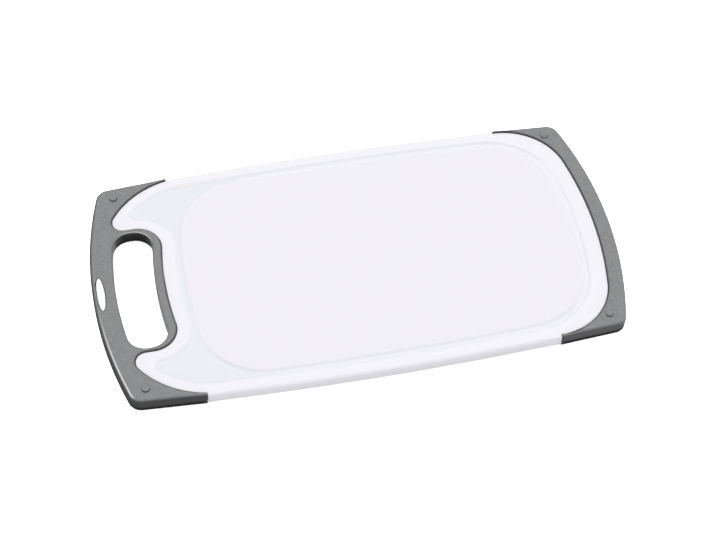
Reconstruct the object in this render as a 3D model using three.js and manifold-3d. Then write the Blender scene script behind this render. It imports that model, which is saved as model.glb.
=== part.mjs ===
// A plastic cutting board: a white moulded panel with a juice groove and two wells, soft grey grips over
// both of its ends, four rubber studs through the grips, and a bare oval inlay in the handle.
// Millimetres. x runs along the board with the handle at -x, y runs across it, z rises from the studs' feet.

import * as THREE from "three";
import { mergeVertices } from "three/addons/utils/BufferGeometryUtils.js";
import Module from "manifold-3d";

// The board's outline: four shallow arcs with rounded corners.
const boardLength = 375;
const boardWidth = 200;
const sideBow = 7.4; // how far each long side bulges over the board's length
const endBow = 17.2; // how far each end bulges over the board's width
const cornerRadius = 9.5;

// Heights: the grips stand proud of the panel on both faces, and the studs lift them off the table.
const gripThickness = 11;
const panelThickness = 8.8;
const studFootHeight = 1.2;
const studHeadHeight = 1.2;
const gripEdge = 2.8; // rounding of the grips' upper edges
const gripFootEdge = 1.4; // rounding of the grips' lower edges
const panelEdge = 1.4; // rounding of the panel's long edges

// The handle's window is a slot between two arcs that follow the board's end.
const handleBar = 16.3; // from the board's end to the window
const windowWidth = 28.1;
const windowLength = 100.6;
const windowCorner = 13;
const windowEdge = 2.4; // rounding of the window's rims

// The seam between the white face and the handle grip.
const rimSide = 6.6; // grey rim between the window and the face
const rimEnd = 3.5; // the same rim past the window's ends
const rimCorner = 17.5;
const noseRadius = 8; // rounding of the white horns beside the window
const hornBow = 8.2; // bulge of the horns' outer edge
const handleGripReach = 65.2; // from the board's end to the grip's tips
const tipDepth = 2.1; // thickness of both grips' blunt tips

// The seam between the white face and the far grip.
const endGripDepth = 11.7;
const endGripReach = 62;
const endSeamRadius = 45.9;

// The panel runs on into both grips as a thin tongue.
const tongueThickness = 4;
const gripWall = 4; // grip around the tongue's edge
const windowLining = 2.2; // grip between the tongue and the window
const fitGap = 0.3; // clearance between pieces

// The juice groove rings the cutting field and opens into a well on each side of the handle.
const grooveDepth = 1.2;
const grooveEdge = 0.9; // rounding where the groove's walls meet its floor
const grooveWidth = 7.2;
const grooveSideInset = 8.4; // from the long sides to the groove
const grooveEndInset = 10.8; // from the far seam to the groove
const rimMargin = 8.3; // from the handle seam to the groove beside the window
const wellMargin = 6.5; // from the handle seam to the wells
const wellTipRadius = 6.5;
const handleGrooveWidth = 7.7; // groove between the handle's rim and the field
const fieldCorner = 45;
const fieldHandleRadius = 400; // the field's gentle curve on the handle side

// A rubber stud stands in each corner, with a round head on both faces.
const studHeadDiameter = 5.8;
const studShankDiameter = 4;
const studEdge = 0.5; // bevel of the heads
const studSideInset = 15.8; // from the long sides
const handleStudInset = 25.4; // from the handle's end
const endStudInset = 24.6; // from the far end

// The oval inlay sits flush in the middle of the handle bar.
const inlayLength = 28.6;
const inlayWidth = 5.6;
const inlayDepth = 1.2;
const inlayInset = 5.8; // from the board's end to the oval's middle

// Fineness of the faceted curves.
const chordError = 0.05;
const edgeSteps = 3;
const leastCorner = 1;
const studSides = 28;
const ovalSides = 48;
const overrun = 5; // how far a cutting shape runs past what it cuts
const weldDistance = 1e-4; // points closer than this are one

const gripBottom = studFootHeight;
const boardTop = gripBottom + gripThickness;
const panelBottom = gripBottom + (gripThickness - panelThickness) / 2;
const panelTop = panelBottom + panelThickness;
const tongueBottom = gripBottom + (gripThickness - tongueThickness) / 2;
const tongueTop = tongueBottom + tongueThickness;
const halfLength = boardLength / 2;
const halfWidth = boardWidth / 2;

const wasm = await Module();
wasm.setup();

const point = (x, y) => new THREE.Vector2(x, y);
const angleFrom = (centre, target) => Math.atan2(target.y - centre.y, target.x - centre.x);
const bowRadius = (halfChord, bow) => (halfChord ** 2 + bow ** 2) / (2 * bow);
const shrink = (circle, inset) => ({ centre: circle.centre, radius: circle.radius - inset });

// Points along an arc, as many as keep its chords close to the true curve.
function arc(centre, radius, from, to) {
  const widest = 2 * Math.acos(1 - Math.min(chordError / radius, 1));
  const steps = Math.max(1, Math.ceil(Math.abs(to - from) / widest));
  return Array.from({ length: steps + 1 }, (_, i) => {
    const angle = from + ((to - from) * i) / steps;
    return point(centre.x + radius * Math.cos(angle), centre.y + radius * Math.sin(angle));
  });
}

// The crossing of two circles that lies to the left on the way from the first centre to the second.
function crossing(a, b) {
  const way = b.centre.clone().sub(a.centre);
  const distance = way.length();
  const along = (distance ** 2 + a.radius ** 2 - b.radius ** 2) / (2 * distance);
  const across = Math.sqrt(a.radius ** 2 - along ** 2);
  way.divideScalar(distance);
  return point(
    a.centre.x + way.x * along - way.y * across,
    a.centre.y + way.y * along + way.x * across,
  );
}

// The angle of the point at x on a circle's upper half.
function angleAt(circle, x) {
  return Math.acos((x - circle.centre.x) / circle.radius);
}

// The angle at which a line from a point outside a circle touches it, coming from the far end.
function touchAngle(circle, from) {
  return angleFrom(circle.centre, from) + Math.acos(circle.radius / circle.centre.distanceTo(from));
}

// The point of a circle at height y on its handle side.
function handleSidePoint(circle, y) {
  return point(circle.centre.x - Math.sqrt(circle.radius ** 2 - (y - circle.centre.y) ** 2), y);
}

// An upper half that ends on the board's middle line, followed by its mirror image.
function mirrored(half) {
  const lower = half.map((p) => point(p.x, -p.y)).reverse();
  return [...half, ...lower.slice(1)];
}

const sideArc = { radius: bowRadius(halfLength, sideBow) };
sideArc.centre = point(0, halfWidth - sideArc.radius);
const handleArc = { radius: bowRadius(halfWidth, endBow) };
handleArc.centre = point(handleArc.radius - halfLength, 0);
const endArc = { radius: handleArc.radius };
endArc.centre = point(halfLength - endArc.radius, 0);

const sideHeight = (x) => sideArc.centre.y + Math.sqrt(sideArc.radius ** 2 - x ** 2);

// A closed outline of two side arcs and two end arcs, its corners rounded.
function bowedOutline(side, handleEnd, farEnd, corner) {
  const innerSide = shrink(side, corner);
  const handleCorner = crossing(innerSide, shrink(handleEnd, corner));
  const farCorner = crossing(shrink(farEnd, corner), innerSide);
  const handleAngle = angleFrom(handleEnd.centre, handleCorner);
  const farAngle = angleFrom(farEnd.centre, farCorner);
  const leftAngle = angleFrom(side.centre, handleCorner);
  const rightAngle = angleFrom(side.centre, farCorner);
  const half = [
    ...arc(farEnd.centre, farEnd.radius, 0, farAngle),
    ...arc(farCorner, corner, farAngle, rightAngle).slice(1),
    ...arc(side.centre, side.radius, rightAngle, leftAngle).slice(1),
    ...arc(handleCorner, corner, leftAngle, handleAngle).slice(1),
    ...arc(handleEnd.centre, handleEnd.radius, handleAngle, Math.PI).slice(1),
  ];
  return mirrored(half).slice(0, -1);
}

// The board's outline, moved inwards by an inset.
function boardOutline(inset) {
  const corner = Math.max(cornerRadius - inset, leastCorner);
  return bowedOutline(shrink(sideArc, inset), shrink(handleArc, inset), shrink(endArc, inset), corner);
}

const windowOuter = shrink(handleArc, handleBar);
const windowInner = shrink(windowOuter, windowWidth);
const windowFillet = Math.min(windowCorner, windowWidth / 2 - leastCorner);

// The handle's window, its wall moved outwards by a margin.
function windowOutline(margin) {
  const corner = windowFillet + margin;
  const height = windowLength / 2 - windowFillet;
  const outer = shrink(windowOuter, -margin);
  const inner = shrink(windowInner, margin);
  const outerCorner = handleSidePoint(shrink(outer, corner), height);
  const innerCorner = handleSidePoint(shrink(inner, -corner), height);
  const outerAngle = angleFrom(outer.centre, outerCorner);
  const innerAngle = angleFrom(innerCorner, inner.centre);
  const half = [
    ...arc(outer.centre, outer.radius, Math.PI, outerAngle),
    ...arc(outerCorner, corner, outerAngle, Math.PI / 2).slice(1),
    ...arc(innerCorner, corner, Math.PI / 2, innerAngle),
    ...arc(inner.centre, inner.radius, innerAngle + Math.PI, Math.PI).slice(1),
  ];
  return mirrored(half).slice(0, -1);
}

// The outer edge of a white horn: from the grip's tip to the point where it would meet the window's rim.
const handleTip = point(handleGripReach - halfLength, sideHeight(halfLength - handleGripReach) - tipDepth);
const rimHeight = windowLength / 2 + rimEnd;
const hornCorner = point(handleBar - halfLength, rimHeight);
const hornChord = handleTip.distanceTo(hornCorner);
const hornRadius = bowRadius(hornChord / 2, hornBow);
const horn = { radius: hornRadius };
horn.centre = crossing(
  { centre: handleTip, radius: hornRadius },
  { centre: hornCorner, radius: hornRadius },
);

// The upper half of the handle seam, moved into the face by one shift, and beside the window by another.
// It starts on the horn's edge at an angle about that edge's centre, and ends on the middle line. The nose
// stands on the level stretch beside the window's end, or on the bend past it where the horn is slim.
function handleSeam(shift, rimShift, startAngle) {
  const edge = shrink(horn, shift);
  const nose = Math.max(noseRadius - shift, wellTipRadius);
  const height = rimHeight + shift;
  const rim = shrink(windowInner, rimSide + rimShift);
  const bend = { radius: rimCorner + shift };
  bend.centre = handleSidePoint(shrink(rim, -bend.radius), height - bend.radius);
  const levelNose = handleSidePoint(shrink(edge, nose), height + nose);
  const bendNose = crossing(shrink(bend, -nose), shrink(edge, nose));
  const noseCentre = levelNose.x < bend.centre.x ? levelNose : bendNose;
  const noseAngle = angleFrom(edge.centre, noseCentre);
  const meetAngle = Math.min(Math.PI / 2, angleFrom(bend.centre, noseCentre));
  const bendAngle = angleFrom(bend.centre, rim.centre);
  return [
    ...arc(edge.centre, edge.radius, startAngle, noseAngle),
    ...arc(noseCentre, nose, noseAngle, meetAngle + Math.PI).slice(1),
    ...arc(bend.centre, bend.radius, meetAngle, bendAngle),
    ...arc(rim.centre, rim.radius, bendAngle + Math.PI, Math.PI).slice(1),
  ];
}

const endTip = point(halfLength - endGripReach, sideHeight(halfLength - endGripReach) - tipDepth);
const endSeamArc = shrink(endArc, endGripDepth);
const endBend = { radius: endSeamRadius };
endBend.centre = crossing({ centre: endTip, radius: endSeamRadius }, shrink(endSeamArc, endSeamRadius));

// The upper half of the far seam, from its tip to the middle line, moved into the face by a shift.
function endSeam(shift) {
  const end = shrink(endSeamArc, shift);
  const bend = shrink(endBend, shift);
  const startAngle = angleAt(bend, endTip.x - shift);
  const bendAngle = angleFrom(end.centre, bend.centre);
  return [
    ...arc(bend.centre, bend.radius, startAngle, bendAngle),
    ...arc(end.centre, end.radius, bendAngle, 0).slice(1),
  ];
}

// A seam with its blunt tips carried out past the board's sides.
function acrossBoard(half) {
  return mirrored([point(half[0].x, halfWidth + overrun), ...half]);
}

// Plan of each piece, running past the board's outline where that outline will trim it.
const facePlan = [
  ...acrossBoard(handleSeam(fitGap, fitGap, angleAt(shrink(horn, fitGap), handleTip.x + fitGap))),
  ...acrossBoard(endSeam(fitGap)).reverse(),
];
const handlePlan = [
  ...acrossBoard(handleSeam(0, 0, angleAt(horn, handleTip.x))),
  point(-halfLength - overrun, -halfWidth - overrun),
  point(-halfLength - overrun, halfWidth + overrun),
];
const endPlan = [
  ...acrossBoard(endSeam(0)),
  point(halfLength + overrun, -halfWidth - overrun),
  point(halfLength + overrun, halfWidth + overrun),
];

// The raised cutting field, and the outer edges of the groove and of the two wells.
const fieldLeft = windowInner.centre.x - windowInner.radius + rimSide + rimMargin + handleGrooveWidth;
const fieldHandleArc = {
  centre: point(fieldLeft + fieldHandleRadius, 0),
  radius: fieldHandleRadius,
};
const grooveEndArc = shrink(endSeamArc, grooveEndInset);
const grooveSideArc = shrink(sideArc, grooveSideInset);
const fieldOutline = bowedOutline(
  shrink(grooveSideArc, grooveWidth),
  fieldHandleArc,
  shrink(grooveEndArc, grooveWidth),
  fieldCorner,
);
const grooveOutline = bowedOutline(
  grooveSideArc,
  shrink(fieldHandleArc, -grooveWidth),
  grooveEndArc,
  fieldCorner + grooveWidth,
);
const wellStart = point(fieldLeft + fieldCorner, sideHeight(fieldLeft + fieldCorner) - grooveSideInset);
const wellAngle = touchAngle(shrink(horn, wellMargin), wellStart);
const wellOutline = mirrored([wellStart, ...handleSeam(wellMargin, rimMargin, wellAngle)]);

// A closed geometry as a solid that can be joined and cut.
function solid(geometry) {
  const bare = geometry.index ? geometry.toNonIndexed() : geometry;
  bare.deleteAttribute("normal");
  bare.deleteAttribute("uv");
  const merged = mergeVertices(bare, weldDistance);
  const faces = new wasm.Mesh({
    numProp: 3,
    vertProperties: merged.getAttribute("position").array,
    triVerts: merged.index.array,
  });
  return new wasm.Manifold(faces);
}

// An outline raised between two heights. A positive edge rounds its rims off, a negative one flares them out.
function slab(outline, bottom, top, edge = 0) {
  const rim = Math.abs(edge);
  const geometry = new THREE.ExtrudeGeometry(new THREE.Shape(outline), {
    depth: top - bottom - 2 * rim,
    bevelEnabled: rim > 0,
    bevelThickness: rim,
    bevelSize: edge,
    bevelOffset: -edge,
    bevelSegments: edgeSteps,
  });
  geometry.translate(0, 0, bottom + rim);
  return solid(geometry);
}

// An outline cut right through the board.
function through(outline) {
  return slab(outline, gripBottom - overrun, boardTop + overrun);
}

function circleOutline(x, y, diameter) {
  return arc(point(x, y), diameter / 2, 0, 2 * Math.PI).slice(1);
}

const studPlaces = [
  { name: "stud_handle_far", x: handleStudInset - halfLength, y: halfWidth - studSideInset },
  { name: "stud_handle_near", x: handleStudInset - halfLength, y: studSideInset - halfWidth },
  { name: "stud_end_far", x: halfLength - endStudInset, y: halfWidth - studSideInset },
  { name: "stud_end_near", x: halfLength - endStudInset, y: studSideInset - halfWidth },
];
const studHoles = studPlaces
  .map(({ x, y }) => through(circleOutline(x, y, studShankDiameter + 2 * fitGap)))
  .reduce((all, hole) => all.add(hole));

// The tongue, grown by a clearance where the grips make room for it.
function tongue(clearance) {
  const plate = slab(boardOutline(gripWall - clearance), tongueBottom - clearance, tongueTop + clearance);
  return plate.subtract(through(windowOutline(windowLining - clearance)));
}

// The groove and wells as one cut, with the field left standing in the middle.
function grooveCut() {
  const floor = panelTop - grooveDepth;
  const above = panelTop + overrun;
  const basin = slab(grooveOutline, floor, above, grooveEdge).add(slab(wellOutline, floor, above, grooveEdge));
  return basin.subtract(slab(fieldOutline, floor, above, -grooveEdge));
}

function panelSolid() {
  const core = slab(boardOutline(0), panelBottom, panelTop, panelEdge).intersect(through(facePlan));
  return core.add(tongue(0)).subtract(grooveCut()).subtract(studHoles);
}

// The oval plate, or with a clearance the pocket that it sits in.
function inlaySolid(clearance) {
  const outline = Array.from({ length: ovalSides }, (_, i) => {
    const angle = (2 * Math.PI * i) / ovalSides;
    const x = (inlayWidth / 2 + clearance) * Math.cos(angle);
    const y = (inlayLength / 2 + clearance) * Math.sin(angle);
    return point(inlayInset - halfLength + x, y);
  });
  return slab(outline, boardTop - inlayDepth, clearance > 0 ? boardTop + overrun : boardTop);
}

function gripSolid(plan) {
  const upper = slab(boardOutline(0), gripBottom - overrun, boardTop, gripEdge);
  const lower = slab(boardOutline(0), gripBottom, boardTop + overrun, gripFootEdge);
  const sleeve = upper.intersect(lower).intersect(through(plan));
  return sleeve.subtract(tongue(fitGap)).subtract(studHoles);
}

function handleGripSolid() {
  const window = slab(windowOutline(0), gripBottom, boardTop, -windowEdge);
  return gripSolid(handlePlan).subtract(window).subtract(inlaySolid(fitGap));
}

// A stud turned about its own axis: foot, shank and head.
function studSolid() {
  const head = studHeadDiameter / 2;
  const shank = studShankDiameter / 2;
  const top = boardTop + studHeadHeight;
  const profile = [
    point(0, 0),
    point(head - studEdge, 0),
    point(head, studEdge),
    point(head, gripBottom),
    point(shank, gripBottom),
    point(shank, boardTop),
    point(head, boardTop),
    point(head, top - studEdge),
    point(head - studEdge, top),
    point(0, top),
  ];
  return solid(new THREE.LatheGeometry(profile, studSides).rotateX(Math.PI / 2));
}

const whitePlastic = new THREE.MeshStandardMaterial({ color: 0xf3f3f6, roughness: 0.45, metalness: 0 });
const greyRubber = new THREE.MeshStandardMaterial({ color: 0x8f9091, roughness: 0.7, metalness: 0 });
const studRubber = new THREE.MeshStandardMaterial({ color: 0x8a8b8c, roughness: 0.65, metalness: 0 });
const inlayPlastic = new THREE.MeshStandardMaterial({ color: 0xfafafa, roughness: 0.35, metalness: 0 });

function piece(name, body, material) {
  const { vertProperties, triVerts } = body.getMesh();
  const geometry = new THREE.BufferGeometry();
  geometry.setAttribute("position", new THREE.BufferAttribute(vertProperties, 3));
  geometry.setIndex(new THREE.BufferAttribute(triVerts, 1));
  geometry.computeVertexNormals();
  const mesh = new THREE.Mesh(geometry, material);
  mesh.name = name;
  return mesh;
}

const board = new THREE.Group();
board.add(piece("board_panel", panelSolid(), whitePlastic));
board.add(piece("handle_grip", handleGripSolid(), greyRubber));
board.add(piece("end_grip", gripSolid(endPlan), greyRubber));
board.add(piece("badge_inlay", inlaySolid(0), inlayPlastic));
for (const { name, x, y } of studPlaces) {
  const stud = piece(name, studSolid(), studRubber);
  stud.position.set(x, y, 0);
  board.add(stud);
}

export default board;
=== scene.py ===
import math

import bmesh
import bpy
from mathutils import Matrix, Vector


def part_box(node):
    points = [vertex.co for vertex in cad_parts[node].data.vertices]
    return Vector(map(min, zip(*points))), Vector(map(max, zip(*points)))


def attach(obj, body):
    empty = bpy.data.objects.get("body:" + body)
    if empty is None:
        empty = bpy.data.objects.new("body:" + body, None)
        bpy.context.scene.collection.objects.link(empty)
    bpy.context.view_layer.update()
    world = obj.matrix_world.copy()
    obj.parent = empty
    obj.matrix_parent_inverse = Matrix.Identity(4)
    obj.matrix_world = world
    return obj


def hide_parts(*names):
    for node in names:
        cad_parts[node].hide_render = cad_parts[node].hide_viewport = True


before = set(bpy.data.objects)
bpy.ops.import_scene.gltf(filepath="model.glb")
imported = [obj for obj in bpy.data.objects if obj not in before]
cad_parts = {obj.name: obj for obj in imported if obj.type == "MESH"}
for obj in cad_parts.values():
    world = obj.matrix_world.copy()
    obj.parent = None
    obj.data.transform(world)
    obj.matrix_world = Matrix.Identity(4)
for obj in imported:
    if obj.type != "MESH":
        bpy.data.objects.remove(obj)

scene = bpy.context.scene
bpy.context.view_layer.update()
panelFoot, panelTop = (corner.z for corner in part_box("board_panel"))
gripFoot, gripTop = (corner.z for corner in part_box("handle_grip"))
print("frame loaded:", len(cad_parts), "nodes, top face at", round(panelTop * 1000, 2), "mm")


# camera, set from the photo's perspective of the grips' top face
view = {
    "imageSize": (716, 540),
    "topCentre": (355.85, 255.0),  # pixel of the middle of the top face
    "distance": 1.2753,  # along the line of sight
    "focalPixels": 1793.2,
    "sensor": 36,  # mm
    "yaw": -13.88,
    "elevation": 52.66,
    "roll": 2.27,
}


def makeCamera():
    yaw, elevation, roll = (math.radians(view[k]) for k in ("yaw", "elevation", "roll"))
    back = Vector((
        math.sin(yaw) * math.cos(elevation),
        -math.cos(yaw) * math.cos(elevation),
        math.sin(elevation),
    ))
    level = Vector((math.cos(yaw), math.sin(yaw), 0))
    rise = back.cross(level)
    right = level * math.cos(roll) + rise * math.sin(roll)
    up = rise * math.cos(roll) - level * math.sin(roll)
    width, height = view["imageSize"]
    across = (view["topCentre"][0] - width / 2) / view["focalPixels"] * view["distance"]
    above = (height / 2 - view["topCentre"][1]) / view["focalPixels"] * view["distance"]
    data = bpy.data.cameras.new("camera")
    data.sensor_width = view["sensor"]
    data.lens = view["focalPixels"] / width * view["sensor"]
    camera = bpy.data.objects.new("camera", data)
    scene.collection.objects.link(camera)
    camera.rotation_euler = Matrix((right, up, back)).transposed().to_euler()
    camera.location = Vector((0, 0, gripTop)) - right * across - up * above + back * view["distance"]
    scene.camera = camera


makeCamera()
print("camera placed")


# plan of the board, in metres: x along it with the handle at -x, y across it
outline = {
    "halfLength": 0.1875,
    "halfWidth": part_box("board_panel")[1].y,
    "sideBow": 0.0074,
    "endBow": 0.0172,
    "corner": 0.0095,
    "gap": 0.0003,  # between the white panel and the grips
    "tipDepth": 0.0021,
    "tipTaper": (0.4, 0.018),  # the roundings narrow to this share over this length
    "tipFade": 0.0005,  # how far the painted shade of a seam runs on along the white wall
    "gripTipFade": 0.0026,  # and along the grey one
    "chordError": 4e-6,
    "samePoint": 1e-7,  # ends closer than this are one point
}
handle = {
    "bar": 0.0163,
    "windowWidth": 0.0281,
    "windowLength": 0.1006,
    "windowCorner": 0.013,
    "rimSide": 0.0066,
    "rimEnd": 0.0035,
    "rimCorner": 0.0175,
    "nose": 0.008,
    "hornBow": 0.0082,
    "reach": 0.0652,
}
farGrip = {"depth": 0.0117, "reach": 0.062, "bend": 0.0459}
groove = {
    "depth": 0.0011,
    "wallWidth": 0.0028,
    "wallSteps": 10,
    "width": 0.0072,
    "sideInset": 0.0084,
    "endInset": 0.0108,
    "rimMargin": 0.0083,  # from the seam to the groove beside the window
    "wellMargin": 0.0065,
    "wellTip": 0.0065,
    "tipReach": (0.004, 0.012, 0.8),  # the wall is narrower and lower near the wells' tips
    "handleWidth": 0.0077,
    "fieldCorner": 0.045,
    "fieldHandleRadius": 0.4,
}


class Circle:
    def __init__(self, x, y, radius):
        self.centre = Vector((x, y))
        self.radius = radius

    def shrunk(self, inset):
        return Circle(self.centre.x, self.centre.y, self.radius - inset)

    def angleTo(self, target):
        return math.atan2(target.y - self.centre.y, target.x - self.centre.x)

    def angleAtX(self, x):
        return math.acos((x - self.centre.x) / self.radius)

    def leftAtY(self, y):
        return Vector((self.centre.x - math.sqrt(self.radius ** 2 - (y - self.centre.y) ** 2), y))

    def arc(self, start, end):
        widest = 2 * math.acos(1 - outline["chordError"] / self.radius)
        steps = max(2, math.ceil(abs(end - start) / widest))
        angles = [start + (end - start) * i / steps for i in range(steps + 1)]
        return [self.centre + self.radius * Vector((math.cos(a), math.sin(a))) for a in angles]


def bowRadius(halfChord, bow):
    return (halfChord ** 2 + bow ** 2) / (2 * bow)


# 0 before the first value, 1 after the second, with a soft step between
def smooth(low, high, value):
    t = min(1, max(0, (value - low) / (high - low)))
    return t * t * (3 - 2 * t)


# where two circles cross, to the left on the way from the first centre to the second
def crossing(a, b):
    way = b.centre - a.centre
    distance = way.length
    along = (distance ** 2 + a.radius ** 2 - b.radius ** 2) / (2 * distance)
    across = math.sqrt(a.radius ** 2 - along ** 2)
    way /= distance
    return a.centre + way * along + Vector((-way.y, way.x)) * across


def joined(*runs):
    points = list(runs[0])
    for run in runs[1:]:
        points += run[1:] if (run[0] - points[-1]).length < outline["samePoint"] else run
    return points


def mirrored(half):
    return half + [Vector((p.x, -p.y)) for p in reversed(half[:-1])]


halfLength, halfWidth = outline["halfLength"], outline["halfWidth"]
sideRadius = bowRadius(halfLength, outline["sideBow"])
endRadius = bowRadius(halfWidth, outline["endBow"])
sideArc = Circle(0, halfWidth - sideRadius, sideRadius)
handleArc = Circle(endRadius - halfLength, 0, endRadius)
endArc = Circle(halfLength - endRadius, 0, endRadius)
windowOuter = handleArc.shrunk(handle["bar"])
windowInner = windowOuter.shrunk(handle["windowWidth"])


def sideHeight(x):
    return sideArc.centre.y + math.sqrt(sideArc.radius ** 2 - x ** 2)


def sidePoints(*places):
    return [Vector((x, sideHeight(x))) for x in places]


# upper half of an outline of two side arcs and two end arcs with rounded corners, from far end to handle
def bowedHalf(side, handleEnd, farEnd, corner):
    innerSide = side.shrunk(corner)
    handleCorner = crossing(innerSide, handleEnd.shrunk(corner))
    farCorner = crossing(farEnd.shrunk(corner), innerSide)
    nearBend = Circle(handleCorner.x, handleCorner.y, corner)
    farBend = Circle(farCorner.x, farCorner.y, corner)
    return {
        "farEnd": joined(
            farEnd.arc(0, farEnd.angleTo(farCorner)),
            farBend.arc(farEnd.angleTo(farCorner), side.angleTo(farCorner)),
        ),
        "side": side.arc(side.angleTo(farCorner), side.angleTo(handleCorner)),
        "handleEnd": joined(
            nearBend.arc(side.angleTo(handleCorner), handleEnd.angleTo(handleCorner)),
            handleEnd.arc(handleEnd.angleTo(handleCorner), math.pi),
        ),
    }


def windowLoop():
    corner = handle["windowCorner"]
    height = handle["windowLength"] / 2 - corner
    outerCentre = windowOuter.shrunk(corner).leftAtY(height)
    innerCentre = windowInner.shrunk(-corner).leftAtY(height)
    outerBend = Circle(outerCentre.x, outerCentre.y, corner)
    innerBend = Circle(innerCentre.x, innerCentre.y, corner)
    outerAngle = windowOuter.angleTo(outerCentre)
    innerAngle = innerBend.angleTo(windowInner.centre)
    half = joined(
        windowOuter.arc(math.pi, outerAngle),
        outerBend.arc(outerAngle, math.pi / 2),
        innerBend.arc(math.pi / 2, innerAngle),
        windowInner.arc(innerAngle + math.pi, math.pi),
    )
    return mirrored(half)[:-1]


# a grip's tip lies a little inside the board's side
def gripTip(x):
    return Vector((x, sideHeight(x) - outline["tipDepth"]))


# the horn's outer edge runs from the grip's tip to the window's end
handleTip = gripTip(handle["reach"] - halfLength)
rimHeight = handle["windowLength"] / 2 + handle["rimEnd"]
hornFoot = Vector((handle["bar"] - halfLength, rimHeight))
hornRadius = bowRadius((handleTip - hornFoot).length / 2, handle["hornBow"])
hornCentre = crossing(Circle(*handleTip, hornRadius), Circle(*hornFoot, hornRadius))
horn = Circle(*hornCentre, hornRadius)


# upper half of the handle seam, moved into the white face by a shift and beside the window by another;
# the horn's nose stands on the level stretch at the window's end, or on the bend past it
def handleSeamHalf(shift, rimShift, startAngle):
    edge = horn.shrunk(shift)
    noseRadius = max(handle["nose"] - shift, groove["wellTip"])
    height = rimHeight + shift
    rim = windowInner.shrunk(handle["rimSide"] + rimShift)
    bendRadius = handle["rimCorner"] + shift
    bend = Circle(*rim.shrunk(-bendRadius).leftAtY(height - bendRadius), bendRadius)
    spot = edge.shrunk(noseRadius).leftAtY(height + noseRadius)
    if spot.x > bend.centre.x:
        spot = crossing(bend.shrunk(-noseRadius), edge.shrunk(noseRadius))
    nose = Circle(*spot, noseRadius)
    noseAngle = edge.angleTo(spot)
    meetAngle = min(math.pi / 2, bend.angleTo(spot))
    bendAngle = bend.angleTo(rim.centre)
    return joined(
        edge.arc(startAngle, noseAngle),
        nose.arc(noseAngle, meetAngle + math.pi),
        bend.arc(meetAngle, bendAngle),
        rim.arc(bendAngle + math.pi, math.pi),
    )


endTip = gripTip(halfLength - farGrip["reach"])
endSeamArc = endArc.shrunk(farGrip["depth"])
endBendCentre = crossing(Circle(*endTip, farGrip["bend"]), endSeamArc.shrunk(farGrip["bend"]))
endBend = Circle(*endBendCentre, farGrip["bend"])


# upper half of the far seam, from its tip to the middle line
def endSeamHalf(shift):
    end = endSeamArc.shrunk(shift)
    bend = endBend.shrunk(shift)
    meet = end.angleTo(bend.centre)
    return joined(bend.arc(bend.angleAtX(endTip.x - shift), meet), end.arc(meet, 0))


gap = outline["gap"]
boardHalf = bowedHalf(sideArc, handleArc, endArc, outline["corner"])
handleSeam = mirrored(handleSeamHalf(0, 0, horn.angleAtX(handleTip.x)))
faceHandleSeam = mirrored(handleSeamHalf(gap, gap, horn.shrunk(gap).angleAtX(handleTip.x + gap)))
endSeam = mirrored(endSeamHalf(0))
faceEndSeam = mirrored(endSeamHalf(gap))

rimLeft = windowInner.centre.x - windowInner.radius + handle["rimSide"]
fieldLeft = rimLeft + groove["rimMargin"] + groove["handleWidth"]
fieldHandleArc = Circle(fieldLeft + groove["fieldHandleRadius"], 0, groove["fieldHandleRadius"])
grooveEnd = endSeamArc.shrunk(groove["endInset"])
grooveSide = sideArc.shrunk(groove["sideInset"])


def fieldLoop():
    width = groove["width"]
    run = bowedHalf(grooveSide.shrunk(width), fieldHandleArc, grooveEnd.shrunk(width), groove["fieldCorner"])
    return mirrored(joined(run["farEnd"], run["side"], run["handleEnd"]))[:-1]


# outer edge of the groove and its two wells
def basinLoop():
    run = bowedHalf(grooveSide, fieldHandleArc, grooveEnd, groove["fieldCorner"] + groove["width"])
    wellX = fieldLeft + groove["fieldCorner"]
    start = Vector((wellX, sideHeight(wellX) - groove["sideInset"]))
    edge = horn.shrunk(groove["wellMargin"])
    touch = edge.angleTo(start) + math.acos(edge.radius / (start - edge.centre).length)
    side = [p for p in run["side"] if p.x > wellX] + [start]
    well = handleSeamHalf(groove["wellMargin"], groove["rimMargin"], touch)
    return mirrored(joined(run["farEnd"], side, well))[:-1]


# share of the groove wall's width and depth at each point of its outer edge
def wallReach(points):
    near, far, least = groove["tipReach"]
    tip = min(points, key=lambda p: p.x)
    shares = []
    for p in points:
        away = (Vector((p.x, math.copysign(p.y, tip.y))) - tip).length
        shares.append(least + (1 - least) * smooth(near, far, away))
    return shares


# a closed outline as corners: each has its place and the way in which edge and seam roundings draw it in
def corners(stretches):
    made = []
    for index, (kind, points) in enumerate(stretches):
        normals = []
        for a, b in zip(points, points[1:]):
            step = (b - a).normalized()
            normals.append(Vector((-step.y, step.x)))
        lastKind, lastPoints = stretches[index - 1]
        lastStep = (lastPoints[-1] - lastPoints[-2]).normalized()
        before = Vector((-lastStep.y, lastStep.x))
        after = normals[0]
        turn = before.x * after.y - before.y * after.x
        ways = {}
        for name, way in (
            (lastKind, Vector((after.y, -after.x)) / turn),
            (kind, Vector((-before.y, before.x)) / turn),
        ):
            ways[name] = ways.get(name, Vector((0, 0))) + way
        made.append((points[0], ways))
        for i in range(1, len(points) - 1):
            made.append((points[i], {kind: (normals[i - 1] + normals[i]).normalized()}))
    return made


# the same for a smooth closed loop of one kind
def loopCorners(kind, points):
    made = []
    for i, p in enumerate(points):
        step = (points[(i + 1) % len(points)] - points[i - 1]).normalized()
        made.append((p, {kind: Vector((-step.y, step.x))}))
    return made


# roundings narrow towards the grips' tips
def taper(loop, tips):
    least, length = outline["tipTaper"]
    for place, ways in loop:
        away = min((place - tip).length for tip in tips)
        for kind in ways:
            ways[kind] = ways[kind] * (least + (1 - least) * smooth(0, length, away))


print("outlines drawn")


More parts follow.
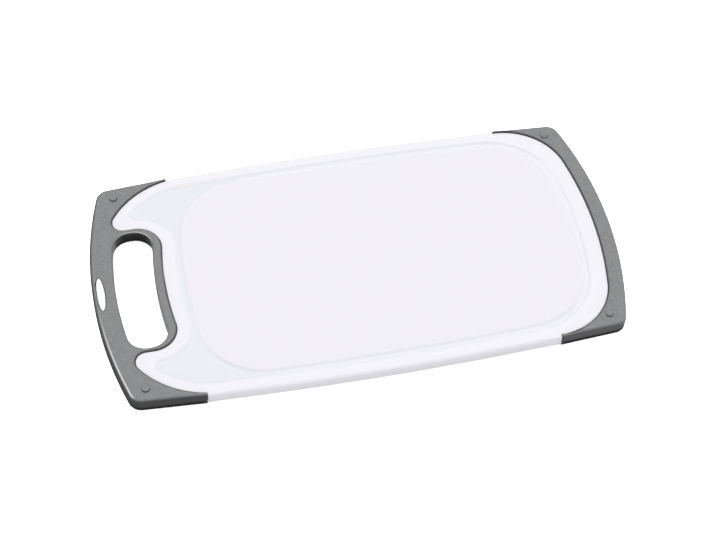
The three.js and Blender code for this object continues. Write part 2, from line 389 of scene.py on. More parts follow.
rounding = {
    "steps": 7,
    "leastSlice": 0.00001,
    "sliceDigits": 6,
    "sharpAngle": 38,  # degrees; softer bends are shaded smooth
    "edge": 0.0028,  # upper edges of the grips
    "panelEdge": 0.0028,  # and of the white panel between them
    "foot": 0.0014,  # lower edges
    "gripSeam": 0.0007,
    "panelSeam": 0.00025,
    "window": 0.002,
    "pocket": 0.0005,
    "pocketShade": 0.0003,
    "seamShade": (0.00118, 0.0012),  # painted shade of the grips' seams: start above the panel, and depth
    "apron": {"edge": 0.0004, "tip": 0.0003, "seam": 0.0006},  # flat ring on which that dark fades out
}


def drawnIn(depth, radius):
    if depth >= radius:
        return 0
    return radius - math.sqrt(max(0, radius ** 2 - (radius - depth) ** 2))


# how far a rounding has turned from flat, 0, to upright, 1
def turned(depth, radius):
    if depth >= radius:
        return 1
    return math.acos(min(1, 1 - depth / radius)) / (math.pi / 2)


# painted shade follows a wall's turn: the far end and the window's long sides get less of it, the handle's
# end and the window's ends get the most, and a painted highlight lies on the window's lip and the handle's
# near corner
paintedWallLight = {
    "endPale": 0.75,
    "endDeep": 0.16,
    "cornerX": (0.6, 0.9),
    "cornerY": (0.0, 0.22),
    "windowOnset": 0.32,
    "windowFace": (0.3, 0.9),
    "windowDeep": 0.2,
    "sidePale": 0.75,
    "skew": 0.2,
    "lip": 0.75,
    "lipSkew": 0.5,
}


def wallDip(kind, turn, outward):
    if kind == "edge":
        corner = smooth(*paintedWallLight["cornerX"], -outward.x) * smooth(*paintedWallLight["cornerY"], -outward.y)
        facing = paintedWallLight["endDeep"] * max(0, -outward.x) - paintedWallLight["endPale"] * max(0, outward.x)
        return turn * (1 + facing), corner
    if kind != "window":
        return 0, 0
    face = smooth(*paintedWallLight["windowFace"], abs(outward.y) - paintedWallLight["skew"] * outward.x)
    late = max(0, turn - paintedWallLight["windowOnset"]) / (1 - paintedWallLight["windowOnset"])
    facing = paintedWallLight["windowDeep"] * face - paintedWallLight["sidePale"] * (1 - face)
    return late * (1 + facing), face * (paintedWallLight["lip"] - paintedWallLight["lipSkew"] * outward.x)


# heights of the slices that follow every rounding of a wall
def sliceHeights(foot, top, topRadii, footRadii):
    steps, digits = rounding["steps"], rounding["sliceDigits"]
    bends = [1 - math.cos(math.pi / 2 * i / steps) for i in range(steps + 1)]
    heights = {round(top - r * b, digits) for r in topRadii for b in bends}
    heights |= {round(foot + r * b, digits) for r in footRadii for b in bends}
    kept = []
    for z in sorted(heights, reverse=True):
        if not kept or kept[-1] - z > rounding["leastSlice"]:
            kept.append(z)
    kept[-1] = foot
    return kept


# a wall of slices down a closed outline; some kinds of stretch get painted shade from a start height
# downwards, and its points carry painted wall shade and a painted highlight; an apron is a flat ring around
# the top; returns the wall's top and bottom rings
def addWall(mesh, loop, heights, topRadius, footRadius, shades, apron=None):
    creaseShade, side, paintedHighlight = (mesh.verts.layers.float[name] for name in ("creaseShade", "side", "paintedHighlight"))
    top, foot = heights[0], heights[-1]
    levels = [(z, False) for z in heights]
    if apron:
        levels.insert(0, (top, True))
    rings = []
    for z, flat in levels:
        ring = []
        for place, ways in loop:
            spot = place.copy()
            shade, dip, lip = 0, 0, 0
            for kind, way in ways.items():
                above, below = topRadius[kind], footRadius[kind]
                spot += way * (drawnIn(top - z, above) + drawnIn(z - foot, below))
                if flat:
                    spot += way * apron[kind]
                elif kind in shades:
                    start, depth = shades[kind]
                    dark = 1 - drawnIn(max(0, start - z), depth) / depth
                    if below:  # the painted shade ends at the foot's rounding, so the underside stays clean
                        dark = min(dark, 1 - drawnIn(z - foot, below) / below)
                    shade = max(shade, dark)
                else:
                    turn = min(turned(top - z, above), turned(z - foot, below))
                    dip, lip = wallDip(kind, turn, -way.normalized())
            vert = mesh.verts.new((spot.x, spot.y, z))
            vert[creaseShade] = shade
            vert[side] = dip
            vert[paintedHighlight] = lip
            ring.append(vert)
        rings.append(ring)
    for upper, lower in zip(rings, rings[1:]):
        for i in range(len(upper)):
            mesh.faces.new((upper[i - 1], lower[i - 1], lower[i], upper[i]))
    return rings[0], rings[-1]


def ringEdges(mesh, ring):
    return [mesh.edges.get((ring[i - 1], ring[i])) for i in range(len(ring))]


def fillEdges(mesh, edges):
    bmesh.ops.triangle_fill(mesh, use_beauty=True, use_dissolve=False, edges=edges, normal=(0, 0, 1))


def fillFlat(mesh, *rings):
    fillEdges(mesh, [e for ring in rings for e in ringEdges(mesh, ring)])


def newMesh(*attributes):
    mesh = bmesh.new()
    for name in attributes:
        mesh.verts.layers.float.new(name)
    return mesh


# the mesh becomes a piece that stands for a node
def finishPiece(name, mesh, material, node):
    bmesh.ops.recalc_face_normals(mesh, faces=mesh.faces)
    data = bpy.data.meshes.new(name)
    mesh.to_mesh(data)
    mesh.free()
    data.materials.append(material)
    for polygon in data.polygons:
        polygon.use_smooth = True
    data.set_sharp_from_angle(angle=math.radians(rounding["sharpAngle"]))
    piece = bpy.data.objects.new(name, data)
    scene.collection.objects.link(piece)
    weighted = piece.modifiers.new("weightedNormals", "WEIGHTED_NORMAL")
    weighted.keep_sharp = True
    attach(piece, "root")
    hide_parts(node)


# shader maths: a socket that can be added, multiplied and so on
class Wire:
    def __init__(self, tree, socket=None):
        self.tree = tree
        self.socket = socket

    def node(self, kind, settings=None, sockets=None, out=0):
        made = self.tree.nodes.new(kind)
        for key, value in (settings or {}).items():
            setattr(made, key, value)
        for key, value in (sockets or {}).items():
            if isinstance(value, Wire):
                self.tree.links.new(value.socket, made.inputs[key])
            else:
                made.inputs[key].default_value = value
        return Wire(self.tree, made.outputs[out] if len(made.outputs) else None)

    def maths(self, operation, a, b):
        return self.node("ShaderNodeMath", {"operation": operation}, {0: a, 1: b})

    def __add__(self, other):
        return self.maths("ADD", self, other)

    def __sub__(self, other):
        return self.maths("SUBTRACT", self, other)

    def __rsub__(self, other):
        return self.maths("SUBTRACT", other, self)

    def __mul__(self, other):
        return self.maths("MULTIPLY", self, other)

    def __pow__(self, other):
        return self.maths("POWER", self, other)

    __radd__ = __add__
    __rmul__ = __mul__

    def mixed(self, factor, a, b):
        return self.node("ShaderNodeMix", {"data_type": "RGBA"}, {0: factor, 6: a, 7: b}, out=2)

    # 0 before the first value, 1 after the second, with a soft step between
    def step(self, low, high):
        return self.node(
            "ShaderNodeMapRange",
            {"interpolation_type": "SMOOTHSTEP"},
            {"Value": self, "From Min": low, "From Max": high},
        )


def newMaterial(name):
    material = bpy.data.materials.new(name)
    material.use_nodes = True
    material.node_tree.nodes.clear()
    return material, Wire(material.node_tree)


def rgb(red, green, blue):
    return (red, green, blue, 1)


# object coordinates, whole and along some axes
def coordinates(wire, axes=""):
    where = wire.node("ShaderNodeTexCoord", out="Object")
    return [where] + [wire.node("ShaderNodeSeparateXYZ", {}, {"Vector": where}, out=axis) for axis in axes]


# values that the points of a piece carry
def carried(wire, *names):
    return [wire.node("ShaderNodeAttribute", {"attribute_name": name}, out="Fac") for name in names]


# grain shared by the moulded surfaces: a noise of a given feature size
def grain(wire, where, size, detail=2.0, distortion=0.0, roughness=0.55):
    return wire.node("ShaderNodeTexNoise", {}, {
        "Vector": where,
        "Scale": 1 / size,
        "Detail": detail,
        "Roughness": roughness,
        "Distortion": distortion,
    })


# a noise about its middle, times an amount
def swing(noise, amount):
    return (noise - 0.5) * amount


# 1 where two shares are both a half, 0 where either is 0
def halfway(a, b):
    return 4 * a * b


def bumped(wire, height, distance, strength):
    return wire.node("ShaderNodeBump", {}, {"Height": height, "Distance": distance, "Strength": strength})


def surface(wire, sockets):
    shader = wire.node("ShaderNodeBsdfPrincipled", {}, sockets)
    wire.node("ShaderNodeOutputMaterial", {}, {"Surface": shader})


whiteFinish = {
    "rim": rgb(0.84, 0.83, 0.875),
    "field": rgb(0.825, 0.808, 0.86),
    # the groove's floor, painted a little darker as shade
    "floor": rgb(0.815, 0.823, 0.865),
    "well": rgb(0.765, 0.785, 0.825),  # the wells' floor, painted greyer still as shade
    "wellPlace": (-0.1, -0.045),  # in x
    # colour of painted light
    "paintedLightColour": rgb(1, 1, 1),
    "wellWallLight": 0.2,  # how far painted light lifts the wells' outer walls to it
    "ridgeHighlight": 0.2,  # and a painted highlight on the field's edge
    "ridgePlace": (-0.075, -0.03),  # in y
    # painted shade along the panel's seams with the grips
    "creaseShade": rgb(0.05, 0.05, 0.052),
    "creasePower": 4,  # keeps that dark close to the seam
    "cloud": rgb(0.72, 0.73, 0.78),
    "cloudShare": 0.05,
    "grainSize": 0.0005,
    "waveSize": 0.018,
    "rimRoughness": 0.40,
    "fieldRoughness": 0.52,
    "roughnessSwing": 0.12,
    "rimGrain": 0.4,  # height of the rim's grain, as a share of the field's
    "bump": 0.00002,
    "bumpStrength": 0.6,
    "ior": 1.49,
    "milkiness": 0.5,  # light that spreads below the surface
    "milkRadius": (1.0, 1.0, 1.1),
    "milkDepth": 0.0015,
}


def whitePlastic():
    finish = whiteFinish
    material, wire = newMaterial("whitePlastic")
    where, along, across = coordinates(wire, "XY")
    field, sink, creaseShade = carried(wire, "field", "sink", "creaseShade")
    fine = grain(wire, where, finish["grainSize"])
    wave = grain(wire, where, finish["waveSize"], detail=3.0)
    colour = wire.mixed(field, finish["rim"], finish["field"])
    # painted shade: the groove's floor darker, the wells' floor darker still
    deep = 1 - along.step(*finish["wellPlace"])
    colour = wire.mixed(sink, colour, wire.mixed(deep, finish["floor"], finish["well"]))
    # painted light on the wells' outer walls and a painted highlight on the field's edge
    lift = halfway(sink, 1 - sink - field) * deep * finish["wellWallLight"]
    lift = lift + halfway(sink, field) * across.step(*finish["ridgePlace"]) * finish["ridgeHighlight"]
    colour = wire.mixed(lift, colour, finish["paintedLightColour"])
    colour = wire.mixed(wave * finish["cloudShare"], colour, finish["cloud"])
    # painted shade along the seams
    colour = wire.mixed(creaseShade ** finish["creasePower"], colour, finish["creaseShade"])
    spread = finish["fieldRoughness"] - finish["rimRoughness"]
    roughness = field * spread + finish["rimRoughness"] + swing(fine, finish["roughnessSwing"])
    height = fine * (finish["rimGrain"] + field * (1 - finish["rimGrain"]))
    surface(wire, {
        "Base Color": colour,
        "Roughness": roughness,
        "Normal": bumped(wire, height, finish["bump"], finish["bumpStrength"]),
        "IOR": finish["ior"],
        "Subsurface Weight": finish["milkiness"],
        "Subsurface Radius": finish["milkRadius"],
        "Subsurface Scale": finish["milkDepth"],
    })
    return material


rubberFinish = {
    "colour": rgb(0.14, 0.142, 0.145),
    "mottle": rgb(0.312, 0.315, 0.319),
    "wall": rgb(0.064, 0.065, 0.067),  # painted shade on the upright sides, darker than the grained top
    # paler painted shade on the walls towards the far end
    "farWallShade": rgb(0.105, 0.106, 0.109),
    "farPlace": (-0.1, 0.16),  # in x
    "paintedEdgeHighlight": rgb(0.68, 0.683, 0.688),  # painted highlight on the lip of the window and the near corner
    "foot": rgb(0.01, 0.01, 0.011),  # painted shadow on the lowest part of the sides, also the painted deep shade of the handle's end and the window's ends
    # painted shade along the grips' seams and around the badge's pocket
    "creaseShade": rgb(0.07, 0.071, 0.073),
    "creaseShare": 1.4,
    "grainSize": 0.0013,
    "grainShare": 0.8,
    "mottleSize": 0.006,
    "mottleShare": 0.4,
    "mottleOffset": 0.1,
    "roughness": 0.5,
    "wallRoughness": 0.88,
    "highlightRoughness": 0.22,
    "creaseRoughness": 0.3,  # added to the rest
    "grainSwing": 0.14,  # of the roughness
    "mottleSwing": 0.06,
    "wallShadeTurn": (0.12, 0.72),
    "deepShadeTurn": (1.0, 1.3),
    "paintedHighlightTurn": (0.0, 0.12, 0.25, 0.45),
    "footShadowHeight": (0.0026, 0.0055),  # above the grip's foot
    "bump": 0.00004,
    "bumpStrength": 0.7,
    "ior": 1.5,
    "specular": 0.25,
    "studSmoother": 0.06,
}


def greyRubber(name, smoother=0.0):
    finish = rubberFinish
    material, wire = newMaterial(name)
    where, along, height = coordinates(wire, "XZ")
    creaseShade, side, paintedHighlight = carried(wire, "creaseShade", "side", "paintedHighlight")
    # painted shade on the walls, paler towards the far end
    wall = side.step(*finish["wallShadeTurn"])
    # a painted highlight on a band near the top of the rounding, at the window's lip and the near corner
    paintedEdgeHighlight = side.step(*finish["paintedHighlightTurn"][:2]) * (1 - side.step(*finish["paintedHighlightTurn"][2:]))
    # painted shadow low on the sides
    foot = wall * (1 - height.step(*(gripFoot + z for z in finish["footShadowHeight"])))
    fine = grain(wire, where, finish["grainSize"], detail=3.0)
    mottle = grain(wire, where, finish["mottleSize"], detail=4.0, distortion=0.4)
    fleck = fine * finish["grainShare"] + mottle * finish["mottleShare"] - finish["mottleOffset"]
    colour = wire.mixed(fleck, finish["colour"], finish["mottle"])
    colour = wire.mixed(paintedEdgeHighlight * paintedHighlight, colour, finish["paintedEdgeHighlight"])
    upright = wire.mixed(along.step(*finish["farPlace"]), finish["wall"], finish["farWallShade"])
    colour = wire.mixed(wall, colour, upright)
    colour = wire.mixed(foot, colour, finish["foot"])
    # painted deep shade on the handle's end and the window's ends
    colour = wire.mixed(side.step(*finish["deepShadeTurn"]), colour, finish["foot"])
    # painted shade along the seams and around the pocket
    colour = wire.mixed(creaseShade * finish["creaseShare"], colour, finish["creaseShade"])
    roughness = finish["roughness"] - smoother + creaseShade * finish["creaseRoughness"]
    roughness = roughness + wall * (finish["wallRoughness"] - finish["roughness"])
    roughness = roughness + paintedEdgeHighlight * (finish["highlightRoughness"] - finish["roughness"])
    roughness = roughness + swing(fine, finish["grainSwing"]) + swing(mottle, finish["mottleSwing"])
    surface(wire, {
        "Base Color": colour,
        "Roughness": roughness,
        "Normal": bumped(wire, fine, finish["bump"], finish["bumpStrength"] - smoother),
        "IOR": finish["ior"],
        "Specular IOR Level": finish["specular"],
    })
    return material


inlayFinish = {
    "colour": rgb(0.9, 0.9, 0.905),
    "cloud": rgb(0.8, 0.8, 0.82),
    "cloudShare": 0.06,
    "grainSize": 0.0007,
    "roughness": 0.3,
    "roughnessSwing": 0.1,
    "bump": 0.00001,
    "bumpStrength": 0.5,
    "ior": 1.49,
}


def inlayPlastic():
    finish = inlayFinish
    material, wire = newMaterial("inlayPlastic")
    fine = grain(wire, *coordinates(wire), finish["grainSize"])
    surface(wire, {
        "Base Color": wire.mixed(fine * finish["cloudShare"], finish["colour"], finish["cloud"]),
        "Roughness": finish["roughness"] + swing(fine, finish["roughnessSwing"]),
        "Normal": bumped(wire, fine, finish["bump"], finish["bumpStrength"]),
        "IOR": finish["ior"],
    })
    return material


whiteMaterial = whitePlastic()
gripMaterial = greyRubber("greyRubber")
studMaterial = greyRubber("studRubber", smoother=rubberFinish["studSmoother"])
inlayMaterial = inlayPlastic()
print("materials made")


# a tree whose modifier runs on a plain mesh; returns the finished mesh
def grown(name, data, tree, values):
    source = bpy.data.objects.new(name + "Source", data)
    scene.collection.objects.link(source)
    modifier = source.modifiers.new(name, "NODES")
    modifier.node_group = tree
    sockets = {item.name: item.identifier for item in tree.interface.items_tree if item.in_out == "INPUT"}
    for key, value in values.items():
        modifier[sockets[key]] = value
    depsgraph = bpy.context.evaluated_depsgraph_get()
    result = bpy.data.meshes.new_from_object(source.evaluated_get(depsgraph))
    source.modifiers.remove(modifier)
    bpy.data.objects.remove(source)
    return result


def newTree(name, inputs):
    tree = bpy.data.node_groups.new(name, "GeometryNodeTree")
    tree.interface.new_socket("Geometry", in_out="INPUT", socket_type="NodeSocketGeometry")
    for label, kind in inputs.items():
        tree.interface.new_socket(label, in_out="INPUT", socket_type="NodeSocket" + kind)
    tree.interface.new_socket("Geometry", in_out="OUTPUT", socket_type="NodeSocketGeometry")
    entry = tree.nodes.new("NodeGroupInput")
    wire = Wire(tree)
    given = {socket.name: Wire(tree, socket) for socket in entry.outputs if socket.name}
    return tree, wire, given


def closeTree(wire, geometry, material):
    whole = wire.node("GeometryNodeRealizeInstances", {}, {"Geometry": geometry})
    dressed = wire.node("GeometryNodeSetMaterial", {}, {"Geometry": whole, "Material": material})
    wire.node("NodeGroupOutput", {}, {"Geometry": dressed})


# wall of the juice groove: a soft S-shaped slope that follows its outline down to the floor
def grooveTree():
    tree, wire, given = newTree(
        "grooveWall", {"Depth": "Float", "Wall Width": "Float", "Steps": "Int", "Material": "Material"}
    )
    path = wire.node("GeometryNodeMeshToCurve", {}, {"Mesh": given["Geometry"]})
    path = wire.node("GeometryNodeSetCurveNormal", {"mode": "Z_UP"}, {"Curve": path})
    line = wire.node("GeometryNodeCurvePrimitiveLine", {}, {"Start": (0, 0, 0), "End": (1, 0, 0)})
    count = given["Steps"] + 1
    line = wire.node("GeometryNodeResampleCurve", {"mode": "COUNT"}, {"Curve": line, "Count": count})
    along = wire.node("GeometryNodeSplineParameter")
    slope = along * along * (3 - 2 * along)
    place = wire.node(
        "ShaderNodeCombineXYZ", {}, {"X": 0 - along * given["Wall Width"], "Y": slope * given["Depth"]}
    )
    line = wire.node("GeometryNodeSetPosition", {}, {"Geometry": line, "Position": place})
    line = wire.node(
        "GeometryNodeStoreNamedAttribute",
        {"data_type": "FLOAT", "domain": "POINT"},
        {"Geometry": line, "Name": "sink", "Value": slope},
    )
    reach = wire.node("GeometryNodeInputNamedAttribute", {"data_type": "FLOAT"}, {"Name": "reach"})
    wall = wire.node("GeometryNodeCurveToMesh", {}, {"Curve": path, "Profile Curve": line, "Scale": reach})
    closeTree(wire, wall, given["Material"])
    return tree


def loopMesh(name, points, z, reach):
    data = bpy.data.meshes.new(name)
    count = len(points)
    data.from_pydata([(p.x, p.y, z) for p in points], [(i, (i + 1) % count) for i in range(count)], [])
    data.attributes.new("reach", "FLOAT", "POINT").data.foreach_set("value", reach)
    return data


def makePanel():
    side = joined(boardHalf["farEnd"], boardHalf["side"], boardHalf["handleEnd"])
    left, right = handleTip.x + gap, endTip.x - gap
    fade = outline["tipFade"]
    far = [p for p in side if left + fade < p.x < right - fade]
    far = sidePoints(right, right - fade) + far + sidePoints(left + fade, left)
    near = [Vector((p.x, -p.y)) for p in reversed(far)]
    loop = corners([
        ("edge", far),
        ("seam", [far[-1], faceHandleSeam[0]]),
        ("seam", faceHandleSeam),
        ("seam", [faceHandleSeam[-1], near[0]]),
        ("edge", near),
        ("seam", [near[-1], faceEndSeam[-1]]),
        ("seam", faceEndSeam[::-1]),
        ("seam", [faceEndSeam[0], far[0]]),
    ])
    taper(loop, (far[0], far[-1], near[0], near[-1]))
    mesh = newMesh("creaseShade", "side", "paintedHighlight", "field", "sink")
    topRadius = {"edge": rounding["panelEdge"], "seam": rounding["panelSeam"]}
    footRadius = {"edge": rounding["foot"], "seam": rounding["panelSeam"]}
    heights = sliceHeights(panelFoot, panelTop, topRadius.values(), footRadius.values())
    shades = {"seam": (panelTop, rounding["panelSeam"])}
    rimRing, footRing = addWall(mesh, loop, heights, topRadius, footRadius, shades)
    fillFlat(mesh, footRing)
    rimEdges = ringEdges(mesh, rimRing)

    tree = grooveTree()
    values = {
        "Depth": groove["depth"],
        "Wall Width": groove["wallWidth"],
        "Steps": groove["wallSteps"],
        "Material": whiteMaterial,
    }
    field = mesh.verts.layers.float["field"]
    sink = mesh.verts.layers.float["sink"]
    tops, floors = {}, []
    halfDown = 0.5  # parts the walls' upper borders from their lower ones
    for name, points in (("basin", basinLoop()), ("field", fieldLoop()[::-1])):
        reach = wallReach(points) if name == "basin" else [1] * len(points)
        wall = grown(name, loopMesh(name, points, panelTop, reach), tree, values)
        wall.attributes.remove(wall.attributes["reach"])
        known = set(mesh.verts)
        mesh.from_mesh(wall)
        verts = [v for v in mesh.verts if v not in known]
        for v in verts:
            v[field] = 1 - v[sink] if name == "field" else 0
        border = [e for e in mesh.edges if e.verts[0] not in known and len(e.link_faces) == 1]
        tops[name] = [e for e in border if e.verts[0][sink] < halfDown]
        floors += [e for e in border if e.verts[0][sink] > halfDown]
    for edges in (rimEdges + tops["basin"], floors, tops["field"]):
        fillEdges(mesh, edges)
    finishPiece("white_board", mesh, whiteMaterial, "board_panel")


makePanel()
print("panel made")


def circleLoop(x, y, radius):
    return Circle(x, y, radius).arc(0, -2 * math.pi)[:-1]


stud = {
    "hole": 0.0023,
    "shank": 0.002,
    "edge": 0.0009,
    "dome": 0.00018,
    "sides": 48,
    "edgeSteps": 6,
    "domeSteps": 4,
    "shadeCrescent": (-0.3, 0.5),  # painted shade on its edge, growing towards the near side
    "samePoint": 1e-6,
}
inlay = {
    "pocketGap": 0.0003,
    "edge": 0.0003,
    "dome": 0.00015,
    "domeRings": (0.75, 0.5, 0.25),  # as shares of the oval
    "sides": 96,
}
inlayLow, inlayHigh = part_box("badge_inlay")
inlayCentre = (inlayLow + inlayHigh) / 2
inlayHalf = (inlayHigh - inlayLow) / 2


def ovalLoop(margin):
    angles = [-2 * math.pi * i / inlay["sides"] for i in range(inlay["sides"])]
    return [
        Vector((
            inlayCentre.x + (inlayHalf.x + margin) * math.cos(a),
            inlayCentre.y + (inlayHalf.y + margin) * math.sin(a),
        ))
        for a in angles
    ]


def studNodes(end):
    return [name for name in sorted(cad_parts) if name.startswith("stud_" + end)]


def makeGrip(name, edge, seam, end):
    topRadius = {
        "edge": rounding["edge"],
        "seam": rounding["gripSeam"],
        "tip": rounding["gripSeam"],
        "window": rounding["window"],
        "pocket": rounding["pocket"],
        "hole": 0,
    }
    footRadius = {
        "edge": rounding["foot"],
        "seam": rounding["panelSeam"],
        "tip": rounding["panelSeam"],
        "window": rounding["window"],
        "pocket": 0,
        "hole": 0,
    }
    mesh = newMesh("creaseShade", "side", "paintedHighlight")
    rise, depth = rounding["seamShade"]
    shades = {
        "seam": (panelTop + rise, depth),
        "tip": (panelTop, depth),
        "pocket": (gripTop, rounding["pocketShade"]),
    }
    loop = corners([
        ("edge", edge),
        ("tip", [edge[-1], seam[0]]),
        ("seam", seam),
        ("tip", [seam[-1], edge[0]]),
    ])
    taper(loop, (edge[0], edge[-1]))
    heights = sliceHeights(
        gripFoot,
        gripTop,
        (topRadius["edge"], topRadius["seam"]),
        (footRadius["edge"], footRadius["seam"]),
    )
    tops = []
    rings = [addWall(mesh, loop, heights, topRadius, footRadius, shades, rounding["apron"])]
    if end == "handle":
        window = rounding["window"]
        heights = sliceHeights(gripFoot, gripTop, (window,), (window,))
        opening = loopCorners("window", windowLoop())
        rings.append(addWall(mesh, opening, heights, topRadius, footRadius, shades))
        pocket = loopCorners("pocket", ovalLoop(inlay["pocketGap"]))
        heights = sliceHeights(inlayLow.z, gripTop, (rounding["pocket"],), (0,))
        pocketTop, pocketFloor = addWall(mesh, pocket, heights, topRadius, footRadius, shades)
        tops.append(pocketTop)
        fillFlat(mesh, pocketFloor)
    for node in studNodes(end):
        centre = sum(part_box(node), Vector()) / 2
        hole = loopCorners("hole", circleLoop(centre.x, centre.y, stud["hole"]))
        rings.append(addWall(mesh, hole, [gripTop, gripFoot], topRadius, footRadius, shades))
    fillFlat(mesh, *tops, *(top for top, foot in rings))
    fillFlat(mesh, *(foot for top, foot in rings))
    finishPiece(name, mesh, gripMaterial, end + "_grip")


def makeGrips():
    fade = outline["gripTipFade"]
    handleSide = sidePoints(handleTip.x, handleTip.x - fade)
    handleSide += [p for p in boardHalf["side"] if p.x < handleTip.x - fade]
    handleEdge = mirrored(joined(handleSide, boardHalf["handleEnd"]))
    makeGrip("handle_sleeve", handleEdge, handleSeam[::-1], "handle")
    endSide = [p for p in boardHalf["side"] if p.x > endTip.x + fade]
    endSide += sidePoints(endTip.x + fade, endTip.x)
    upper = joined(boardHalf["farEnd"], endSide)
    endEdge = [Vector((p.x, -p.y)) for p in reversed(upper[1:])] + upper
    makeGrip("end_sleeve", endEdge, endSeam, "end")


makeGrips()
print("grips made")


# studs: a profile turned about its axis and set in the board's four corners
def studTree():
    tree, wire, given = newTree("studSet", {
        "Centre": "Vector",
        "Length": "Float",
        "Width": "Float",
        "Shank": "Float",
        "Sides": "Int",
        "Material": "Material",
    })
    profile = wire.node("GeometryNodeMeshToCurve", {}, {"Mesh": given["Geometry"]})
    ring = wire.node("GeometryNodeCurvePrimitiveCircle", {"mode": "RADIUS"}, {
        "Resolution": given["Sides"],
        "Radius": given["Shank"],
    })
    turned = wire.node("GeometryNodeCurveToMesh", {}, {"Curve": ring, "Profile Curve": profile})
    turned = wire.node("GeometryNodeMergeByDistance", {}, {"Geometry": turned, "Distance": stud["samePoint"]})
    places = wire.node(
        "GeometryNodeMeshGrid",
        {},
        {"Size X": given["Length"], "Size Y": given["Width"], "Vertices X": 2, "Vertices Y": 2},
    )
    places = wire.node("GeometryNodeTransform", {}, {"Geometry": places, "Translation": given["Centre"]})
    placed = wire.node("GeometryNodeInstanceOnPoints", {}, {"Points": places, "Instance": turned})
    closeTree(wire, placed, given["Material"])
    return tree


# half profile of a stud, x out from the shank's wall and y up
def studProfile(radius, top):
    edge, dome = stud["edge"], stud["dome"]
    shoulders = []
    for i in range(stud["edgeSteps"] + 1):
        angle = math.pi / 2 * i / stud["edgeSteps"]
        shoulders.append((radius - edge + edge * math.sin(angle), edge - edge * math.cos(angle)))
    flat = []
    for i in range(stud["domeSteps"]):
        share = i / stud["domeSteps"]
        flat.append(((radius - edge) * share, dome * share * share))
    head = flat + [(x, dome + (y * (1 - dome / edge))) for x, y in shoulders]
    foot = head + [(radius, gripFoot), (stud["shank"], gripFoot)]
    crown = [(x, top - y) for x, y in head] + [(radius, gripTop), (stud["shank"], gripTop)]
    return foot + crown[::-1]


def makeStuds():
    names = studNodes("")
    low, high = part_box(names[0])
    spots = [sum(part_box(name), Vector()) / 2 for name in names]
    places = [[spot[axis] for spot in spots] for axis in (0, 1)]
    radius = (high.x - low.x) / 2
    points = studProfile(radius, high.z)
    data = bpy.data.meshes.new("studProfile")
    data.from_pydata(
        [(x - stud["shank"], -y, 0) for x, y in points], [(i, i + 1) for i in range(len(points) - 1)], []
    )
    made = grown("studs", data, studTree(), {
        "Centre": (sum(places[0]) / len(names), sum(places[1]) / len(names), 0),
        "Length": max(places[0]) - min(places[0]),
        "Width": max(places[1]) - min(places[1]),
        "Shank": stud["shank"],
        "Sides": stud["sides"],
        "Material": studMaterial,
    })
    for name, spot in zip(names, spots):
        mesh = newMesh("side")
        mesh.from_mesh(made)
        others = [v for v in mesh.verts if (v.co.xy - spot.xy).length > 2 * radius]
        bmesh.ops.delete(mesh, geom=others, context="VERTS")
        side = mesh.verts.layers.float["side"]
        for v in mesh.verts:
            out = v.co.xy - spot.xy
            reach = 1 - (radius - out.length) / stud["edge"]
            turn = math.asin(min(1, max(0, reach))) / (math.pi / 2)
            # painted shade on the stud's edge, towards the near side
            v[side] = turn * smooth(*stud["shadeCrescent"], -out.y / radius)
        finishPiece(name.replace("stud", "rubber_stud"), mesh, studMaterial, name)


makeStuds()
print("studs made")


# oval plate, slightly crowned, with a rounded edge
def makeInlay():
    mesh = newMesh()
    rings = []
    steps = rounding["steps"]
    edge, dome = inlay["edge"], inlay["dome"]
    rows = [(0, inlayLow.z), (0, inlayHigh.z - edge - dome)]
    for i in range(1, steps + 1):
        angle = math.pi / 2 * i / steps
        rows.append((edge * (1 - math.cos(angle)), inlayHigh.z - dome - edge + edge * math.sin(angle)))
    for inset, z in rows:
        rings.append([mesh.verts.new((p.x, p.y, z)) for p in ovalLoop(-inset)])
    for share in inlay["domeRings"]:
        ring = []
        for p in ovalLoop(-edge):
            x = inlayCentre.x + (p.x - inlayCentre.x) * share
            y = inlayCentre.y + (p.y - inlayCentre.y) * share
            ring.append(mesh.verts.new((x, y, inlayHigh.z - dome * share * share)))
        rings.append(ring)
    for lower, upper in zip(rings, rings[1:]):
        for i in range(len(lower)):
            mesh.faces.new((lower[i - 1], upper[i - 1], upper[i], lower[i]))
    peak = mesh.verts.new((inlayCentre.x, inlayCentre.y, inlayHigh.z))
    for i in range(len(rings[-1])):
        mesh.faces.new((rings[-1][i - 1], peak, rings[-1][i]))
    fillFlat(mesh, rings[0])
    finishPiece("oval_plate", mesh, inlayMaterial, "badge_inlay")


makeInlay()
print("inlay made")


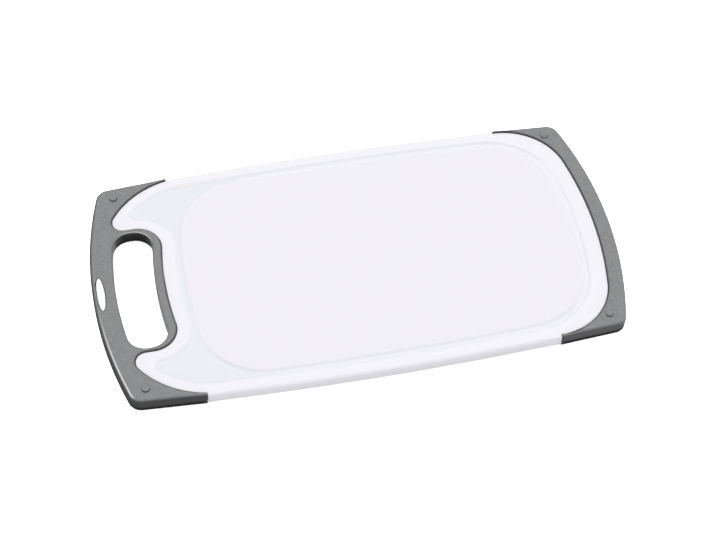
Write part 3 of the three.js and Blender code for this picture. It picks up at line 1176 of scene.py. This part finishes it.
studio = {
    "floorSize": 12,
    "floorSeen": rgb(2.2, 2.2, 2.2),  # as the camera sees it, white with a short shadow
    "floorMirrored": rgb(0.97, 0.97, 0.97),  # as gloss shows it
    "floorBounce": rgb(0.8, 0.8, 0.8),  # as it lights the object
    "floorLift": rgb(0.5, 0.5, 0.5),  # for the camera only, to keep the shadow light
    "noLift": rgb(0, 0, 0),
    "worldLight": rgb(0.42, 0.42, 0.42),
    "worldSeen": rgb(1, 1, 1),
    "lamps": {
        "behind": {"towards": (0.25, 0.45, 0.86), "strength": 1.2, "angle": 60},
        "front": {"towards": (0.35, -0.8, 0.49), "strength": 0.8, "angle": 60},
        "leftSoftbox": {"towards": (-0.58, 0.3, 0.75), "strength": 0.7, "angle": 12},
    },
}


def rays(wire):
    path = wire.node("ShaderNodeLightPath").socket.node.outputs
    camera = Wire(wire.tree, path["Is Camera Ray"])
    gloss = Wire(wire.tree, path["Is Glossy Ray"]) + Wire(wire.tree, path["Is Transmission Ray"])
    return camera, wire.maths("MINIMUM", gloss, 1)


def makeFloor():
    material, wire = newMaterial("paper")
    camera, gloss = rays(wire)
    colour = wire.mixed(gloss, studio["floorBounce"], studio["floorMirrored"])
    colour = wire.mixed(camera, colour, studio["floorSeen"])
    paper = wire.node("ShaderNodeBsdfDiffuse", {}, {"Color": colour})
    glow = wire.mixed(camera, studio["noLift"], studio["floorLift"])
    lift = wire.node("ShaderNodeEmission", {}, {"Color": glow})
    whole = wire.node("ShaderNodeAddShader", {}, {0: paper, 1: lift})
    wire.node("ShaderNodeOutputMaterial", {}, {"Surface": whole})
    half = studio["floorSize"] / 2
    data = bpy.data.meshes.new("floor")
    sheet = [(-half, -half, 0), (half, -half, 0), (half, half, 0), (-half, half, 0)]
    data.from_pydata(sheet, [], [(0, 1, 2, 3)])
    data.materials.append(material)
    floor = bpy.data.objects.new("floor", data)
    scene.collection.objects.link(floor)


def makeLight():
    world = bpy.data.worlds.new("studioWorld")
    world.use_nodes = True
    world.node_tree.nodes.clear()
    wire = Wire(world.node_tree)
    camera, gloss = rays(wire)
    colour = wire.mixed(camera + gloss, studio["worldLight"], studio["worldSeen"])
    sky = wire.node("ShaderNodeBackground", {}, {"Color": colour})
    wire.node("ShaderNodeOutputWorld", {}, {"Surface": sky})
    scene.world = world
    for name, lamp in studio["lamps"].items():
        data = bpy.data.lights.new(name, "SUN")
        data.energy = lamp["strength"]
        data.angle = math.radians(lamp["angle"])
        light = bpy.data.objects.new(name, data)
        light.rotation_euler = Vector(lamp["towards"]).to_track_quat("Z", "Y").to_euler()
        scene.collection.objects.link(light)


makeFloor()
makeLight()
scene.view_settings.view_transform = "Standard"
print("studio set")
